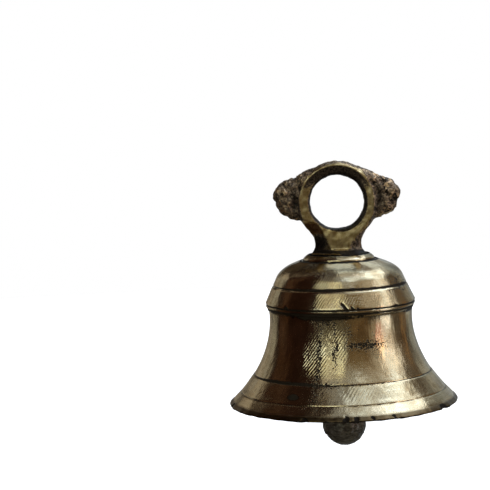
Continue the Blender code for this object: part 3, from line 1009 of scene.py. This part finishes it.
# Soft panels round the bell, each over the ones before: middle azimuth and elevation, half widths
# and softness, in degrees, and colour
PANELS = (
    ((0, -90), (180, 74), 7, (0.020, 0.017, 0.013)),
    ((0, -90), (180, 48), 12, (0.13, 0.12, 0.10)),
    ((160, 20), (30, 60), 25, (0.27, 0.30, 0.32)),
    ((176, 55), (24, 26), 8, (0.68, 0.80, 0.92)),
    ((-149, 64), (22, 36), 5, (0.026, 0.018, 0.013)),
    ((-164, 21), (14, 11), 6, (0.040, 0.030, 0.020)),
    ((26, 7), (19, 32), 7, (0.105, 0.072, 0.038)),
    ((-8, -5), (27, 11), 6, (0.075, 0.066, 0.045)),
    ((-25, 20), (18, 12), 4, (1.20, 1.36, 1.28)),
    ((-2, 19), (6, 11), 4, (0.50, 0.52, 0.42)),
    ((28, 36), (13, 7), 5, (0.20, 0.142, 0.065)),
    ((-28, 37), (6, 5), 4, (0.90, 0.96, 0.72)),
    ((-4, 38), (5, 5), 3, (1.30, 1.40, 1.10)),
    ((112, 5), (20, 30), 8, (0.09, 0.072, 0.055)),
    ((97, 18), (2, 6), 2, (1.70, 1.75, 1.90)),
    ((116, 0), (2, 16), 3, (0.34, 0.21, 0.10)),
    ((-10, 66), (22, 18), 5, (0.19, 0.20, 0.22)),
    ((44, 64), (30, 15), 6, (0.72, 0.86, 1.05)),
    ((80, 66), (15, 8), 5, (1.3, 1.5, 1.9)),
    ((112, 53), (35, 12), 5, (1.8, 2.1, 2.6)),
    ((93, 40), (12, 4), 4, (1.5, 1.75, 2.1)),
    ((-80, 0), (45, 100), 5, (0.017, 0.0075, 0.0055)),
    ((-104, -15), (8, 70), 10, (0.05, 0.028, 0.018)),
    ((62, 4), (2, 12), 2, (1.1, 0.24, 0.16)),
    ((75, 4), (11, 29), 4, (1.20, 1.22, 1.35)),
    ((82, 28), (16, 7), 5, (1.05, 1.08, 1.15)),
    ((65, 17), (3, 4), 2, (3.20, 2.10, 1.20)),
)

# Each soft lamp's azimuth and elevation (degrees) and power (watts)
LAMPS = (("key_lamp", 60, 45, 1.2), ("fill_lamp", -35, -5, 1.2))
LAMP_SIZE, LAMP_DISTANCE = 0.5, 0.9


def add_camera():
    """A camera that looks down on the bell a little, with the bell to the right and below."""
    data = bpy.data.cameras.new("camera")
    data.lens = LENS
    data.sensor_width = SENSOR
    camera = bpy.data.objects.new("camera", data)
    bpy.context.scene.collection.objects.link(camera)
    e = radians(CAMERA_ELEVATION)
    place = Vector((0, -CAMERA_DISTANCE * cos(e), CAMERA_DISTANCE * sin(e) + MOUTH_Z)) * MM
    upright = Matrix.Rotation(pi / 2 - e, 3, "X")
    roll = Matrix.Rotation(radians(-CAMERA_ROLL), 3, "Z")
    aim = Matrix.Rotation(radians(AIM_YAW), 3, "Y") @ Matrix.Rotation(radians(AIM_PITCH), 3, "X")
    camera.matrix_world = Matrix.Translation(place) @ (upright @ roll @ aim).to_4x4()
    bpy.context.scene.camera = camera


def panel_color(nodes, way):
    """The colour of the panels in a direction, with the room's own light between them."""
    x, y, z = (nodes.add("SeparateXYZ", {0: way}, k) for k in range(3))
    azimuth = nodes.math("ARCTAN2", x, nodes.times(y, -1))
    elevation = nodes.math("ARCSINE", z)
    color = nodes.mix(nodes.step(elevation, 0, 1.2), ROOM_LOW, ROOM_HIGH)
    for middle, half, softness, panel in PANELS:
        share = 1
        for value, at, reach in zip((azimuth, elevation), middle, half):
            off = nodes.math("WRAP", nodes.math("SUBTRACT", value, radians(at)), pi, -pi)
            edges = radians(reach - softness / 2), radians(reach + softness / 2)
            inside = nodes.step(nodes.math("ABSOLUTE", off), *edges, 1, 0)
            share = nodes.times(share, inside)
        color = nodes.mix(share, color, rgb(*panel))
    return color


def light_studio():
    """A world of soft, uneven panels that the brass mirrors. The camera sees white instead."""
    world = bpy.data.worlds.new("studio")
    bpy.context.scene.world = world
    world.use_nodes = True
    nodes = Nodes(world.node_tree)
    background = world.node_tree.nodes["Background"]
    way = nodes.add("TexCoord", (), "Generated")
    clutter = nodes.noise(nodes.stretched(way, 7, 7, 2.6), 1.6, 3, 0.6, 0.4)
    strength = nodes.step(clutter, 0.32, 0.68, 0.25, 1.8)
    warm = nodes.noise(nodes.stretched(way, 9, 9, 3), 1, 2)
    tint = nodes.mix(nodes.step(warm, 0.35, 0.65), COOL_TINT, WARM_TINT)
    inputs = {0: 1, 6: panel_color(nodes, way), 7: tint}
    color = nodes.add("Mix", inputs, 2, data_type="RGBA", blend_type="MULTIPLY")
    color = nodes.add("VectorMath", {0: color, "Scale": strength}, operation="SCALE")
    is_camera = nodes.add("LightPath", (), "Is Camera Ray")
    nodes.feed(background.inputs["Color"], nodes.mix(is_camera, color, WHITE))
    bpy.context.scene.view_settings.view_transform = "Standard"


def add_lamps():
    """Two soft lamps for the dull surfaces. The brass mirrors the world's panels instead."""
    for name, azimuth, elevation, power in LAMPS:
        data = bpy.data.lights.new(name, "AREA")
        data.shape, data.size, data.energy = "DISK", LAMP_SIZE, power
        lamp = bpy.data.objects.new(name, data)
        a, e = radians(azimuth), radians(elevation)
        way = Vector((sin(a) * cos(e), -cos(a) * cos(e), sin(e)))
        lamp.location = way * LAMP_DISTANCE
        lamp.rotation_euler = way.to_track_quat("Z", "Y").to_euler()
        lamp.visible_camera = lamp.visible_glossy = False
        bpy.context.scene.collection.objects.link(lamp)


def add_floor():
    """A plain pale floor, well below the hanging bell."""
    angles = np.linspace(0, 2 * pi, FLOOR_SIDES, endpoint=False)
    rim = [(FLOOR_RADIUS * cos(a), FLOOR_RADIUS * sin(a), 0) for a in angles]
    mesh = bpy.data.meshes.new("floor")
    mesh.from_pydata(rim, [], [list(range(len(rim)))])
    material, nodes, shader, _ = new_material("pale_floor")
    set_shader(nodes, shader, Base_Color=rgb(0.9, 0.9, 0.9), Roughness=0.8, Emission_Strength=1.0)
    set_shader(nodes, shader, Emission_Color=WHITE)
    mesh.materials.append(material)
    floor = bpy.data.objects.new("floor", mesh)
    floor.location.z = cad_low.z - FLOOR_DROP
    floor.visible_glossy = floor.visible_diffuse = False
    bpy.context.scene.collection.objects.link(floor)


def main():
    add_camera()
    light_studio()
    add_lamps()
    add_floor()
    turned_bell(turned_brass())
    ring_handle(cast_brass())
    forged = iron(
        "forged_iron",
        dark=rgb(0.07, 0.065, 0.06),
        light=rgb(0.16, 0.15, 0.14),
        metal=0.85,
        rust_share=0.6,
        roughness=0.38,
        pitting=0.06,
    )
    cast = iron(
        "cast_iron",
        dark=rgb(0.07, 0.064, 0.048),
        light=rgb(0.26, 0.245, 0.19),
        metal=0.55,
        rust_share=0.25,
        roughness=0.24,
        pitting=0.10,
    )
    hanger_parts(forged)
    clapper_parts(forged, cast)


main()
